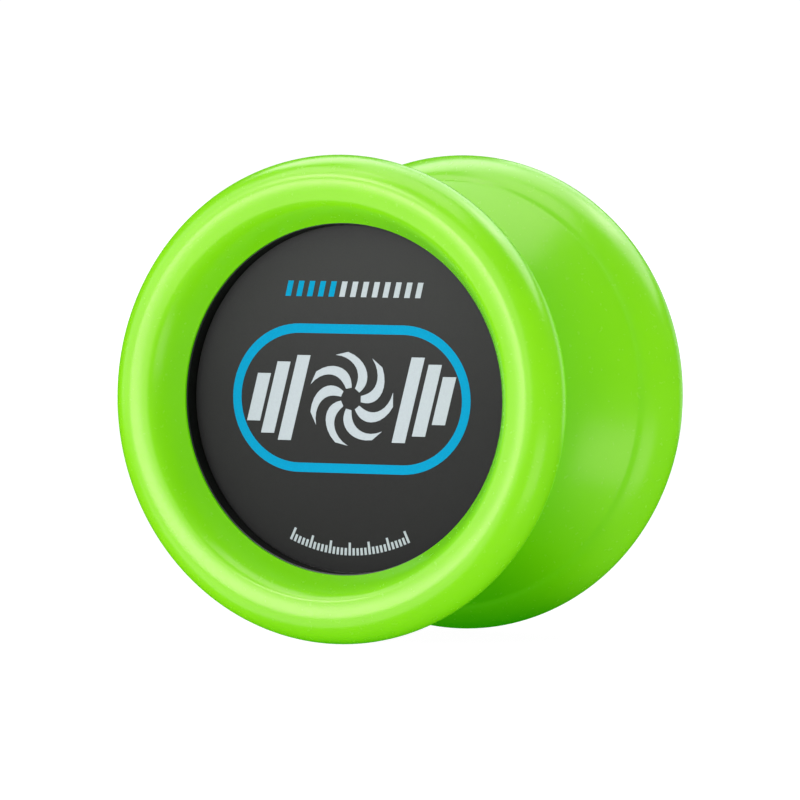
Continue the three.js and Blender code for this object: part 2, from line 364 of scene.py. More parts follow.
def cut_away(mesh, cutter_mesh):
    """mesh with cutter_mesh cut out of it."""
    body = bpy.data.objects.new("body", mesh)
    cutter = bpy.data.objects.new("cutter", cutter_mesh)
    for obj in (body, cutter):
        bpy.context.scene.collection.objects.link(obj)
    boolean = body.modifiers.new("cut", "BOOLEAN")
    boolean.operation = "DIFFERENCE"
    boolean.object = cutter
    boolean.solver = "EXACT"
    graph = bpy.context.evaluated_depsgraph_get()
    result = bpy.data.meshes.new_from_object(body.evaluated_get(graph))
    bpy.data.objects.remove(body)
    bpy.data.objects.remove(cutter)
    bm = bmesh.new()
    bm.from_mesh(result)
    return finished_mesh(bm, mesh.name)


# ---------------------------------------------------------------- half-shell pieces

def flare_point(t):
    """A point of the flared wall and the direction of the wall there, from face to crease."""
    rise = CREASE_HEIGHT - FACE - FLARE_START_SLOPE * (CREASE_RADIUS - FACE_RADIUS)
    run = rise / (FLARE_END_SLOPE - FLARE_START_SLOPE)
    face = Vector((FACE_RADIUS, FACE))
    crease = Vector((CREASE_RADIUS, CREASE_HEIGHT))
    bend = crease - Vector((run, FLARE_END_SLOPE * run))
    along = (bend - face) * (1 - t) + (crease - bend) * t
    return face * (1 - t) ** 2 + bend * 2 * t * (1 - t) + crease * t * t, along.normalized()


def flare(steps):
    """The flared wall, up to where the soft crease begins."""
    return [tuple(flare_point(CREASE_START_SHARE * i / steps)[0]) for i in range(steps + 1)]


def band():
    """The soft crease, then a full curve out to the widest part of the rim."""
    bend = (CREASE_RADIUS, CREASE_HEIGHT)
    shoulder = (CREASE_RADIUS + CREASE_WIDTH, CREASE_HEIGHT + CREASE_RISE)
    crease = quadratic(flare_point(CREASE_START_SHARE)[0], bend, shoulder, 8)
    past_shoulder = (shoulder[0] + BAND_START_PULL[0], shoulder[1] + BAND_START_PULL[1])
    below_rim = (RIM_RADIUS, RIM_WIDEST - BAND_END_PULL)
    full = cubic(shoulder, past_shoulder, below_rim, (RIM_RADIUS, RIM_WIDEST), 18)
    return crease[1:] + full[1:]


def rim_and_dish():
    """Round the rim to its crest, then over a nearly flat crown and down the dish to the lip."""
    rim = arc((CREST_RADIUS, RIM_WIDEST), (RIM_RADIUS - CREST_RADIUS, CREST - RIM_WIDEST), 0, 90, 24)
    shoulder = (CREST_RADIUS - CROWN_WIDTH, CREST - CROWN_DROP)
    crown_bends = (24.9, CREST), (24.2, CREST - 0.06)
    crown = cubic((CREST_RADIUS, CREST), *crown_bends, shoulder, 8)
    dish_bends = (22.43, 20.37), (21.75, 18.6)
    above_lip = (LIP_RADIUS + 0.1, LIP_HEIGHT + 0.18)
    dish = cubic(shoulder, *dish_bends, above_lip, 20)
    return rim[1:] + crown[1:] + dish[1:]


def cup_wall(steps):
    """The inside of the flared wall, a wall's thickness away, from the cap ledge to the hub."""
    found = []
    for i in range(steps + 1):
        point, along = flare_point(CUP_SHARE * (1 - i / steps))
        found.append((point.x - along.y * WALL, point.y + along.x * WALL))
    return found


def hub_face():
    """From the nut's pocket through the spacer's pocket to the face with the pad's groove."""
    return filleted([
        (BORE, NUT_POCKET_FLOOR),
        (BORE, SPACER_POCKET_FLOOR),
        (SPACER_POCKET_RADIUS, SPACER_POCKET_FLOOR),
        (SPACER_POCKET_RADIUS, SEAT_FLOOR, 0.12),
        (SEAT_RADIUS, SEAT_FLOOR),
        (SEAT_RADIUS, FACE, HUB_ROUND),
        (PAD_GROOVE[0], FACE, HUB_ROUND),
        (PAD_GROOVE[0], PAD_GROOVE_FLOOR),
        (PAD_GROOVE[1], PAD_GROOVE_FLOOR),
        (PAD_GROOVE[1], FACE, HUB_ROUND),
        (FACE_RADIUS, FACE),
    ])


def cap_seat(start):
    """From the end of the dish under the lip, where the cap snaps in, to the ledge below it."""
    seat = filleted([
        start,
        (LIP_RADIUS, LIP_HEIGHT, 0.1),
        (LIP_RADIUS, LIP_HEIGHT - LIP_THICKNESS),
        (CAP_GROOVE_RADIUS, LIP_HEIGHT - LIP_THICKNESS),
        (CAP_GROOVE_RADIUS, CAP_LEDGE_HEIGHT),
        (CAP_LEDGE_RADIUS, CAP_LEDGE_HEIGHT),
    ])
    return seat[1:]


def shell_mesh(name):
    """The moulded half: hub, flare, band, rim, dish, cap seat and the hollow behind the cap."""
    pocket = hexagon(NUT_POCKET_FLATS)
    outside = [*hub_face(), *flare(40)[1:], *band(), *rim_and_dish()]
    inside = [*cap_seat(outside[-1]), *cup_wall(10)]
    boss = [(BOSS_RADIUS, inside[-1][1]), (BOSS_RADIUS, BOSS_END)]
    rows = [(pocket, BOSS_END), (pocket, NUT_POCKET_FLOOR), *outside, *inside, *boss]
    return turned(name, rows, SHELL_SEGMENTS)


def cap_mesh(name):
    """The side cap: a flat floor with a low wall that snaps under the lip."""
    bottom, top, outer = CAP_LOW.y, CAP_HIGH.y, CAP_HIGH.x
    outline = filleted([
        (outer, bottom, 0.15),
        (outer, top, 0.1),
        (CAP_INNER_RADIUS, top, 0.12),
        (CAP_INNER_RADIUS, CAP_FLOOR, 0.1),
    ], step=12)
    rows = [(0, bottom), *outline, (0, CAP_FLOOR)]
    return turned(name, rows, SHELL_SEGMENTS)


def label_mesh(name):
    """A thin disc of film. Its outer edge is broken, and a ring inside that keeps the face flat."""
    bottom, top = LABEL_LOW.y, LABEL_HIGH.y
    rows = [
        (0, bottom),
        (LABEL_RADIUS, bottom),
        (LABEL_RADIUS, top - LABEL_EDGE),
        (LABEL_RADIUS - LABEL_EDGE, top),
        (LABEL_RADIUS - 0.1, top),
        (0, top),
    ]
    return turned(name, rows, SHELL_SEGMENTS)


def pad_mesh(name):
    """The silicone ring in the groove of the face."""
    inner, outer = PAD_GROOVE[0] + PAD_INNER_GAP, PAD_GROOVE[1] - PAD_OUTER_GAP
    outline = filleted([
        (inner, PAD_LOW.y, 0.12),
        (outer, PAD_LOW.y, 0.12),
        (outer, PAD_HIGH.y, 0.1),
        (inner, PAD_HIGH.y, 0.1),
    ])
    return turned(name, outline, HUB_SEGMENTS)


def spacer_mesh(name):
    """The bearing's seat: a neck inside the inner ring, a shoulder beside it, and a head."""
    shoulder = RACE_HIGH.y + SPACER_RACE_GAP
    head = SEAT_FLOOR + SPACER_SEAT_GAP
    outline = filleted([
        (SPACER_BORE, SPACER_LOW.y, 0.1),
        (SPACER_NECK, SPACER_LOW.y, 0.2),
        (SPACER_NECK, shoulder, 0.08),
        (SPACER_SHOULDER, shoulder, 0.08),
        (SPACER_SHOULDER, head),
        (SPACER_HEAD, head, 0.12),
        (SPACER_HEAD, SPACER_HIGH.y, 0.12),
        (SPACER_BORE, SPACER_HIGH.y, 0.1),
    ])
    return turned(name, outline, HUB_SEGMENTS)


# ---------------------------------------------------------------- fasteners

def thread(radius, depth, height):
    """The radius, by angle from +Z, of a right-handed V thread at a height on its axis."""
    def at(angle):
        phase = (height / THREAD_PITCH - angle / (2 * math.pi)) % 1.0
        from_crest = abs(2 * phase - 1)
        return radius - depth * min(1.0, max(0.0, (from_crest - THREAD_CREST) / THREAD_FLANK))
    return at


def threaded_rows(low, high, radius, depth, limit):
    """Rows of a threaded surface, with limit(radius, height) keeping each row in bounds."""
    steps = round((high - low) / THREAD_PITCH * ROWS_A_TURN)
    rows = []
    for i in range(steps + 1):
        height = low + (high - low) * i / steps
        ridge = thread(radius, depth, height)
        rows.append((lambda angle, ridge=ridge, height=height: limit(ridge(angle), height), height))
    return rows


def axle_mesh(name):
    """A threaded stud with chamfered ends and a hexagon socket in its front end."""
    low, high = AXLE_LOW.y, AXLE_HIGH.y

    def chamfered(radius, height):
        return min(radius, AXLE_RADIUS - AXLE_CHAMFER + min(height - low, high - height))

    socket = hexagon(SOCKET_FLATS)
    floor = low + SOCKET_DEPTH
    end_ring = AXLE_RADIUS - AXLE_CHAMFER - 0.25
    rows = [
        (0, floor + SOCKET_POINT),
        (socket, floor),
        (socket, low + SOCKET_CHAMFER_DEPTH),
        (lambda angle: socket(angle) + SOCKET_CHAMFER_WIDTH, low),
        *threaded_rows(low, high, AXLE_RADIUS, THREAD_DEPTH, chamfered),
        (end_ring, high),
        (0, high),
    ]
    return turned(name, rows, THREAD_SEGMENTS, sharp_angle=50)


def nut_mesh(name):
    """A hexagon nut, chamfered at both faces, with a threaded bore."""
    low, high = NUT_LOW.y, NUT_HIGH.y
    flats = NUT_HIGH.x - NUT_LOW.x
    sides = hexagon(flats)
    washer = flats / 2 - NUT_WASHER_INSET

    def chamfered(rise):
        return lambda angle: min(sides(angle), washer + rise * NUT_CHAMFER_SLOPE)

    def countersunk(radius, height):
        return max(radius, NUT_BORE + NUT_COUNTERSINK - min(height - low, high - height))

    rows = [(washer, low)]
    rows += [(chamfered(level), low + level) for level in NUT_CHAMFER_STEPS]
    rows += [(chamfered(level), high - level) for level in reversed(NUT_CHAMFER_STEPS)]
    rows += [(washer, high)]
    bore = threaded_rows(low, high, NUT_BORE + NUT_THREAD_DEPTH, NUT_THREAD_DEPTH, countersunk)
    return turned(name, rows + bore[::-1], THREAD_SEGMENTS, sharp_angle=28)


# ---------------------------------------------------------------- bearing

def groove(shoulder, facing):
    """The ball groove of a race, as an arc round the centre of a ball."""
    half = math.degrees(math.acos(abs(shoulder - PITCH_RADIUS) / RACE_GROOVE))
    return arc((PITCH_RADIUS, 0), (facing * RACE_GROOVE, RACE_GROOVE), -half, half, 12)


def inner_race_mesh(name):
    """The inner ring, with its ball groove on the outside."""
    side = RACE_HIGH.y
    corners = [
        (INNER_RACE_BORE, side, 0.15),
        (INNER_RACE_BORE, -side, 0.15),
        (INNER_SHOULDER, -side, 0.08),
        *groove(INNER_SHOULDER, -1),
        (INNER_SHOULDER, side, 0.08),
    ]
    return turned(name, filleted(corners), HUB_SEGMENTS)


def outer_race_mesh(name):
    """The outer ring, with its ball groove inside and a step at each side for a shield."""
    side = RACE_HIGH.y
    corners = [
        (RACE_HIGH.x, side, 0.25),
        (RACE_HIGH.x, -side, 0.25),
        (SHIELD_STEP_RADIUS, -side, 0.06),
        (SHIELD_STEP_RADIUS, -SHIELD_STEP_HEIGHT),
        (OUTER_SHOULDER, -SHIELD_STEP_HEIGHT, 0.05),
        *groove(OUTER_SHOULDER, 1),
        (OUTER_SHOULDER, SHIELD_STEP_HEIGHT, 0.05),
        (SHIELD_STEP_RADIUS, SHIELD_STEP_HEIGHT),
        (SHIELD_STEP_RADIUS, side, 0.06),
    ]
    return turned(name, filleted(corners), HUB_SEGMENTS)


def shield_mesh(name):
    """A pressed washer, with a shallow step down to its bore on the outer face."""
    low, high = SHIELD_LOW.y, SHIELD_HIGH.y
    outline = filleted([
        (SHIELD_BORE, low, 0.05),
        (SHIELD_DISH_RADIUS, low),
        (SHIELD_DISH_RADIUS + 0.1, low),
        (SHIELD_RADIUS, low, 0.04),
        (SHIELD_RADIUS, high, 0.04),
        (SHIELD_DISH_RADIUS + 0.1, high),
        (SHIELD_DISH_RADIUS, high - SHIELD_DISH),
        (SHIELD_BORE, high - SHIELD_DISH, 0.03),
    ])
    return turned(name, outline, HUB_SEGMENTS)


def clip_mesh(name):
    """The open spring ring: a flat wire bent round, with a gap between its ends."""
    low, high = CLIP_LOW.y, CLIP_HIGH.y
    section = filleted([
        (CLIP_INNER_RADIUS, low, 0.07),
        (CLIP_OUTER_RADIUS, low, 0.07),
        (CLIP_OUTER_RADIUS, high, 0.07),
        (CLIP_INNER_RADIUS, high, 0.07),
    ])
    opening = math.radians(CLIP_HALF_OPENING)
    count = 80
    start = math.pi / 2 + opening
    span = 2 * math.pi - 2 * opening
    return swept_section(name, section, [start + span * i / count for i in range(count + 1)])


def ball_centre(i):
    """Where ball i sits, in metres."""
    angle = 2 * math.pi * (i + 0.5) / BALL_COUNT
    return Vector((math.sin(angle), 0, math.cos(angle))) * PITCH_RADIUS * MM


def ball_mesh(name, i):
    """Ball i, in its place."""
    bm = bmesh.new()
    bmesh.ops.create_uvsphere(bm, u_segments=32, v_segments=20, radius=BALL_RADIUS * MM)
    bmesh.ops.translate(bm, verts=bm.verts, vec=ball_centre(i))
    return finished_mesh(bm, name)


def cage_mesh(name):
    """A crown cage: a ring with a round pocket for each ball, open at the front."""
    ring = turned(name, filleted([
        (CAGE_INNER_RADIUS, CAGE_FRONT, 0.05),
        (CAGE_OUTER_RADIUS, CAGE_FRONT, 0.05),
        (CAGE_OUTER_RADIUS, CAGE_BACK, 0.08),
        (CAGE_INNER_RADIUS, CAGE_BACK, 0.08),
    ]), HUB_SEGMENTS)
    pockets = bmesh.new()
    radius = CAGE_POCKET * MM
    for i in range(BALL_COUNT):
        place = Matrix.Translation(ball_centre(i))
        bmesh.ops.create_uvsphere(pockets, u_segments=24, v_segments=16, radius=radius, matrix=place)
    return cut_away(ring, finished_mesh(pockets, "pockets"))


# ---------------------------------------------------------------- label print

def printed(name, strips):
    """Thin ink shapes on the label face. A strip is two edges of (right, up) points in
    millimetres, seen from outside, and whether it closes into a loop; ink fills it."""
    low, high = LABEL_HIGH.y - INK_BITE, LABEL_HIGH.y + INK_THICKNESS
    bm = bmesh.new()
    for first, second, loops in strips:
        layers = []
        for height in (low, high):
            layers.append([
                [bm.verts.new((-u * MM, height * MM, v * MM)) for u, v in edge]
                for edge in (first, second)
            ])
        (a, b), (c, d) = layers
        count = len(a)
        for i in range(count if loops else count - 1):
            j = (i + 1) % count
            bm.faces.new((a[i], a[j], b[j], b[i]))
            bm.faces.new((c[i], c[j], d[j], d[i]))
            bm.faces.new((a[i], a[j], c[j], c[i]))
            bm.faces.new((b[i], b[j], d[j], d[i]))
        if not loops:
            for i in (0, -1):
                bm.faces.new((a[i], b[i], d[i], c[i]))
    return finished_mesh(bm, name)


def capsule_points(half_width, radius, steps):
    """A level capsule: two half circles joined by straight edges."""
    found = []
    for side, start in ((1, -90), (-1, 90)):
        centre = side * (half_width - radius)
        for i in range(steps + 1):
            angle = math.radians(start + 180 * i / steps)
            found.append((centre + radius * math.cos(angle), radius * math.sin(angle)))
    return found


def capsule_frame():
    """A plain capsule-shaped band round the emblem."""
    outer = capsule_points(FRAME_HALF_WIDTH, FRAME_RADIUS, 40)
    inner = capsule_points(FRAME_HALF_WIDTH - FRAME_BAND, FRAME_RADIUS - FRAME_BAND, 40)
    return [(outer, inner, True)]


def pinwheel():
    """Curved blades round an open middle."""
    strips = []
    steps = 12
    for blade in range(BLADE_COUNT):
        leading, trailing = [], []
        for i in range(steps + 1):
            t = i / steps
            r = PINWHEEL_RADIUS * (BLADE_START + (1 - BLADE_START) * t)
            turn = 2 * math.pi * blade / BLADE_COUNT + BLADE_CURL * t * t
            half = (BLADE_ROOT_WIDTH * (1 - t) + BLADE_TIP_WIDTH * t) * math.pi / BLADE_COUNT
            leading.append((r * math.cos(turn + half), r * math.sin(turn + half)))
            trailing.append((r * math.cos(turn - half), r * math.sin(turn - half)))
        strips.append((leading, trailing, False))
    return strips


def slanted_bars():
    """Leaning bars either side of the pinwheel, shorter towards the ends of the frame."""
    strips = []
    for side in (-1, 1):
        for place, half_height in BARS:
            lean = BAR_LEAN * half_height
            left, right = side * place - BAR_WIDTH / 2, side * place + BAR_WIDTH / 2
            strips.append((
                [(left - lean, -half_height), (left + lean, half_height)],
                [(right - lean, -half_height), (right + lean, half_height)],
                False,
            ))
    return strips


def dash_row(first, last):
    """Short leaning dashes in a row above the emblem."""
    strips = []
    for i in range(first, last):
        left = DASH_PITCH * (i - DASH_COUNT // 2) - DASH_OFFSET
        right = left + DASH_WIDTH
        strips.append((
            [(left, DASH_BOTTOM), (left + DASH_LEAN, DASH_TOP)],
            [(right, DASH_BOTTOM), (right + DASH_LEAN, DASH_TOP)],
            False,
        ))
    return strips


def tick_arc():
    """Fine ticks along the bottom of the label, every fifth one longer."""
    strips = []
    for i in range(-TICKS_EACH_SIDE, TICKS_EACH_SIDE + 1):
        centre = math.radians(270 + TICK_SPACING * i)
        length = LONG_TICK if i % 5 == 0 else SHORT_TICK
        left, right = (
            [(r * math.cos(angle), r * math.sin(angle)) for r in (TICK_RADIUS - length, TICK_RADIUS)]
            for angle in (centre - TICK_HALF_ANGLE, centre + TICK_HALF_ANGLE)
        )
        strips.append((left, right, False))
    return strips


def blue_print(name):
    """The frame, and the first dashes of the row."""
    return printed(name, capsule_frame() + dash_row(0, BLUE_DASHES))


def white_print(name):
    """The emblem, the rest of the dashes and the ticks."""
    dashes = dash_row(BLUE_DASHES, DASH_COUNT)
    return printed(name, pinwheel() + slanted_bars() + dashes + tick_arc())


# ---------------------------------------------------------------- materials

# Most of a noise lies between these
NOISE_LOW = 0.3
NOISE_HIGH = 0.7


class Look:
    """A principled material with helpers for the textures that drive it."""

    def __init__(self, name, roughness, metallic=0.0):
        self.material = bpy.data.materials.new(name)
        self.material.use_nodes = True
        self.nodes = self.material.node_tree.nodes
        self.links = self.material.node_tree.links
        self.shader = self.nodes["Principled BSDF"]
        self.shader.inputs["Roughness"].default_value = roughness
        self.shader.inputs["Metallic"].default_value = metallic
        self.place = self.nodes.new("ShaderNodeTexCoord").outputs["Object"]
        self.bump = None

    def link(self, source, target):
        """Joins a node's output to an input."""
        self.links.new(source, target)

    def noise(self, scale, detail, stretch=(1, 1, 1)):
        """Noise whose features are about 1/scale metres across, stretched along the axes."""
        mapping = self.nodes.new("ShaderNodeMapping")
        mapping.inputs["Scale"].default_value = stretch
        self.link(self.place, mapping.inputs["Vector"])
        texture = self.nodes.new("ShaderNodeTexNoise")
        texture.inputs["Scale"].default_value = scale
        texture.inputs["Detail"].default_value = detail
        self.link(mapping.outputs["Vector"], texture.inputs["Vector"])
        return texture.outputs["Fac"]

    def ramp(self, factor, stops):
        """A colour ramp with (position, colour) stops."""
        ramp = self.nodes.new("ShaderNodeValToRGB")
        elements = ramp.color_ramp.elements
        while len(elements) < len(stops):
            elements.new(0.5)
        for element, (position, colour) in zip(elements, stops):
            element.position = position
            element.color = (*colour, 1)
        self.link(factor, ramp.inputs["Fac"])
        return ramp.outputs["Color"]

    def spread(self, factor, low, high, start=NOISE_LOW, end=NOISE_HIGH):
        """factor from start to end, carried onto the range from low to high."""
        spread = self.nodes.new("ShaderNodeMapRange")
        spread.inputs["From Min"].default_value = start
        spread.inputs["From Max"].default_value = end
        spread.inputs["To Min"].default_value = low
        spread.inputs["To Max"].default_value = high
        self.link(factor, spread.inputs["Value"])
        return spread.outputs["Result"]

    def raise_by(self, height, distance, strength):
        """Bump from a height of 0 to 1, which stands for the distance in metres."""
        bump = self.nodes.new("ShaderNodeBump")
        bump.inputs["Distance"].default_value = distance
        bump.inputs["Strength"].default_value = strength
        self.link(height, bump.inputs["Height"])
        if self.bump is not None:
            self.link(self.bump, bump.inputs["Normal"])
        self.bump = bump.outputs["Normal"]
        self.link(self.bump, self.shader.inputs["Normal"])

    def up(self):
        """Height above the spin axis, in metres."""
        split = self.nodes.new("ShaderNodeSeparateXYZ")
        self.link(self.place, split.inputs["Vector"])
        return split.outputs["Z"]

    def sum(self, first, second):
        """The sum of two factors."""
        total = self.nodes.new("ShaderNodeMath")
        total.operation = "ADD"
        self.link(first, total.inputs[0])
        self.link(second, total.inputs[1])
        return total.outputs["Value"]

    def radius(self):
        """Distance from the spin axis, in metres."""
        split = self.nodes.new("ShaderNodeSeparateXYZ")
        self.link(self.place, split.inputs["Vector"])
        flat = self.nodes.new("ShaderNodeCombineXYZ")
        self.link(split.outputs["X"], flat.inputs["X"])
        self.link(split.outputs["Z"], flat.inputs["Z"])
        length = self.nodes.new("ShaderNodeVectorMath")
        length.operation = "LENGTH"
        self.link(flat.outputs["Vector"], length.inputs[0])
        return length.outputs["Value"]

    def rings(self, spacing):
        """Fine uneven turning rings round the spin axis, the given spacing apart in metres."""
        texture = self.nodes.new("ShaderNodeTexNoise")
        texture.noise_dimensions = "1D"
        texture.inputs["Scale"].default_value = 1 / spacing
        texture.inputs["Detail"].default_value = 4
        self.link(self.radius(), texture.inputs["W"])
        return texture.outputs["Fac"]

    def away_from(self, point):
        """Distance from a point, in metres."""
        away = self.nodes.new("ShaderNodeVectorMath")
        away.operation = "DISTANCE"
        away.inputs[1].default_value = point
        self.link(self.place, away.inputs[0])
        return away.outputs["Value"]

    def colour(self, source):
        """Base colour from a node's output."""
        self.link(source, self.shader.inputs["Base Color"])

    def mottle(self, noise, first, second):
        """Base colour that drifts between two colours."""
        self.colour(self.ramp(noise, [(NOISE_LOW, first), (NOISE_HIGH, second)]))

    def rough(self, noise, low, high):
        """Roughness that drifts between two levels."""
        self.link(self.spread(noise, low, high), self.shader.inputs["Roughness"])

    def set(self, **inputs):
        """Sets shader inputs, named with underscores for spaces."""
        for name, value in inputs.items():
            self.shader.inputs[name.replace("_", " ")].default_value = value


def grey(level):
    """A neutral colour."""
    return (level, level, level)


def shell_plastic():
    """Satin lime plastic with soft orange peel; a faint painted glow, green light of its own, stands in
    for its translucency.
    """
    look = Look("shell_plastic", 0.28)
    look.mottle(look.noise(90, 4), (0.172, 0.398, 0.001), (0.184, 0.425, 0.001))
    look.rough(look.noise(1500, 5), 0.22, 0.28)
    look.set(IOR=1.5, Specular_Tint=(1.0, 0.4, 0.8, 1))
    # Painted glow: the shell gives off a faint green light, which lifts it where it is in shade.
    look.set(Emission_Color=(0.01, 1.0, 0.0, 1), Emission_Strength=0.215)
    look.raise_by(look.noise(420, 2), 0.000008, 0.5)
    return look.material


def cap_plastic():
    """Satin black moulded plastic with a light spark-eroded grain."""
    look = Look("cap_plastic", 0.45)
    look.mottle(look.noise(300, 4), grey(0.0015), grey(0.003))
    look.rough(look.noise(5000, 4), 0.4, 0.55)
    look.raise_by(look.noise(12000, 3), 0.000008, 0.5)
    return look.material


def label_film():
    """Dark grey printed film with a fine linen emboss, and painted shading that makes it a little lighter
    towards its top.
    """
    look = Look("label_film", 0.55)
    look.set(Specular_IOR_Level=0.1)
    grain = look.spread(look.noise(8000, 3), -0.05, 0.05)
    # Painted shading: the film's grey is darker towards the bottom and lighter towards the top.
    painted_shade = look.sum(look.spread(look.up(), 0.05, 0.95, -0.018, 0.018), grain)
    look.colour(look.ramp(painted_shade, [(0.0, grey(0.008)), (0.5, grey(0.015)), (1.0, grey(0.031))]))
    look.rough(look.noise(6000, 3), 0.45, 0.6)
    for stretch in ((1, 1, 0.12), (0.12, 1, 1)):
        look.raise_by(look.noise(9000, 2, stretch), 0.000012, 0.4)
    return look.material


def ink(name, low, high):
    """Screen-printed ink, a little uneven, over the film's emboss."""
    look = Look(name, 0.45)
    look.set(Specular_IOR_Level=0.02)
    look.mottle(look.noise(7000, 4), low, high)
    look.rough(look.noise(5000, 3), 0.4, 0.55)
    look.raise_by(look.noise(9000, 2), 0.000008, 0.4)
    return look.material


def turned_metal(name, low, high, roughness, spacing):
    """Bright turned metal with fine rings and slight smudges."""
    look = Look(name, roughness, metallic=1.0)
    look.mottle(look.noise(700, 4), low, high)
    look.rough(look.noise(1200, 4), roughness * 0.75, roughness * 1.3)
    look.raise_by(look.rings(spacing), 0.000006, 0.4)
    return look.material


def polished_steel(name):
    """Ground and polished bearing steel."""
    look = Look(name, 0.16, metallic=1.0)
    look.mottle(look.noise(900, 4), (0.56, 0.57, 0.58), (0.64, 0.65, 0.66))
    look.rough(look.noise(2500, 4), 0.1, 0.22)
    look.raise_by(look.noise(20000, 2, (1, 0.05, 1)), 0.000002, 0.3)
    return look.material


def silicone():
    """Soft translucent white silicone with a dusty matt surface."""
    look = Look("pad_silicone", 0.6)
    look.mottle(look.noise(1500, 4), (0.70, 0.72, 0.68), (0.80, 0.82, 0.78))
    look.rough(look.noise(4000, 4), 0.5, 0.75)
    look.set(Subsurface_Weight=0.3, Subsurface_Scale=0.001)
    look.raise_by(look.noise(5000, 3), 0.00002, 0.4)
    return look.material


# ---------------------------------------------------------------- assembly

LOOKS = {
    "shell": shell_plastic(),
    "cap": cap_plastic(),
    "label": label_film(),
    "blue": ink("ink_blue", (0.0, 0.24, 0.43), (0.0, 0.265, 0.48)),
    "white": ink("ink_white", (0.39, 0.425, 0.465), (0.425, 0.465, 0.5)),
    "axle": turned_metal("axle_steel", (0.30, 0.30, 0.31), (0.38, 0.38, 0.39), 0.32, 0.0001),
    "nut": turned_metal("nut_steel", (0.44, 0.45, 0.44), (0.54, 0.54, 0.52), 0.38, 0.00015),
    "spacer": turned_metal("spacer_aluminium", (0.60, 0.61, 0.62), (0.68, 0.69, 0.70), 0.3, 0.00012),
    "bearing": polished_steel("bearing_steel"),
    "cage": turned_metal("cage_steel", (0.42, 0.42, 0.43), (0.50, 0.50, 0.51), 0.35, 0.0002),
    "pad": silicone(),
}


def add_piece(name, mesh, look, body, slot, *nodes):
    """A visible piece with its material, riding on a body in place of CAD nodes."""
    obj = bpy.data.objects.new(name, mesh)
    bpy.context.scene.collection.objects.link(obj)
    mesh.materials.clear()
    mesh.materials.append(LOOKS[look])
    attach(obj, body)
    if nodes:
        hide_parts(*nodes)


# piece, its mesh, look, the slot, the CAD node it stands for, and whether it rides on the
# half itself, the spacer's slide or the bearing's outer ring
HALF_PIECES = [
    ("shell_moulding", shell_mesh, "shell", "shell_plastic", "half_shell", "half"),
    ("cap_moulding", cap_mesh, "cap", "cap_plastic", "side_cap", "half"),
    ("label_disc", label_mesh, "label", "label_film", "cap_label", "half"),
    ("label_ink_blue", blue_print, "blue", "label_film", None, "half"),
    ("label_ink_white", white_print, "white", "label_film", None, "half"),
    ("captive_nut", nut_mesh, "nut", "nut_steel", "hub_nut", "half"),
    ("spacer_seat", spacer_mesh, "spacer", "spacer_aluminium", "bearing_spacer", "spacer"),
    ("response_ring", pad_mesh, "pad", "pad_silicone", "response_pad", "half"),
    ("shield_washer", shield_mesh, "bearing", "bearing_steel", "bearing_shield", "bearing"),
    ("spring_clip", clip_mesh, "bearing", "bearing_steel", "shield_clip", "bearing"),
]
BODIES = {
    "front": {"half": "front_half", "spacer": "front_half", "bearing": "bearing_outer"},
    "rear": {"half": "rear_half", "spacer": "rear_spacer", "bearing": "bearing_outer"},
}


def build_halves():
    """Both halves, from the rear half's pieces."""
    half_turn = Matrix.Rotation(math.pi, 4, "Z")
    for side, bodies in BODIES.items():
        for piece, make, look, slot, node, rides in HALF_PIECES:
            name = f"{side}_{piece}"
            mesh = make(name)
            if side == "front":
                mesh.transform(half_turn)
            nodes = [f"{side}_{node}"] if node else []
            add_piece(name, mesh, look, bodies[rides], slot, *nodes)


def build_hub():
    """The axle, and the bearing's rings, cage and balls."""
    hub = [
        ("threaded_axle", axle_mesh, "axle", "front_half", "axle_steel", "axle"),
        ("inner_ring", inner_race_mesh, "bearing", "front_half", "bearing_steel", "bearing_inner_race"),
        ("outer_ring", outer_race_mesh, "bearing", "bearing_outer", "bearing_steel", "bearing_outer_race"),
        ("crown_cage", cage_mesh, "cage", "bearing_cage", "cage_steel", "bearing_cage"),
    ]
    for name, make, look, body, slot, node in hub:
        add_piece(name, make(name), look, body, slot, node)
    for i in range(BALL_COUNT):
        name = f"ball_{i + 1}_sphere"
        body, node = f"ball_{i + 1}", f"bearing_ball_{i + 1}"
        add_piece(name, ball_mesh(name, i), "bearing", body, "bearing_steel", node)


# ---------------------------------------------------------------- studio

# In metres; the painted shadow on the card fades out between two distances from its centre
FLOOR_SIZE = 6
FLOOR_DROP = 0.0003
CARD_SIZE = 0.7
CARD_DROP = 0.0001
CARD_SHADE = (0.003, 0.009, 0)
CARD_SHADE_START = 0.013
CARD_SHADE_END = 0.028


def add_sheet(name, size, drop):
    """A level sheet, a drop below the rims."""
    bm = bmesh.new()
    bmesh.ops.create_grid(bm, x_segments=1, y_segments=1, size=size)
    mesh = finished_mesh(bm, name)
    sheet = bpy.data.objects.new(name, mesh)
    bpy.context.scene.collection.objects.link(sheet)
    sheet.location.z = CAD_LOW.z - drop
    return sheet


def floor_paper():
    """Pale paper, lit from within so that it stays white round the object."""
    look = Look("floor_paper", 0.9)
    look.mottle(look.noise(20, 2), grey(0.18), grey(0.2))
    look.set(Emission_Color=(1, 1, 1, 1), Emission_Strength=0.98, Specular_IOR_Level=0.0)
    return look.material


def card_paper():
    """Glowing white card with a painted shadow, a dark patch, under the far half."""
    look = Look("card_paper", 0.9)
    # Painted shadow: round a point under the far half the card is dark and glows only faintly.
    painted_shade = look.spread(look.away_from(CARD_SHADE), 0.0, 1.0, CARD_SHADE_START, CARD_SHADE_END)
    white = look.ramp(painted_shade, [(0.0, grey(0.02)), (1.0, grey(0.85))])
    look.colour(white)
    look.link(white, look.shader.inputs["Emission Color"])
    look.set(Emission_Strength=0.38, Specular_IOR_Level=0.0)
    return look.material


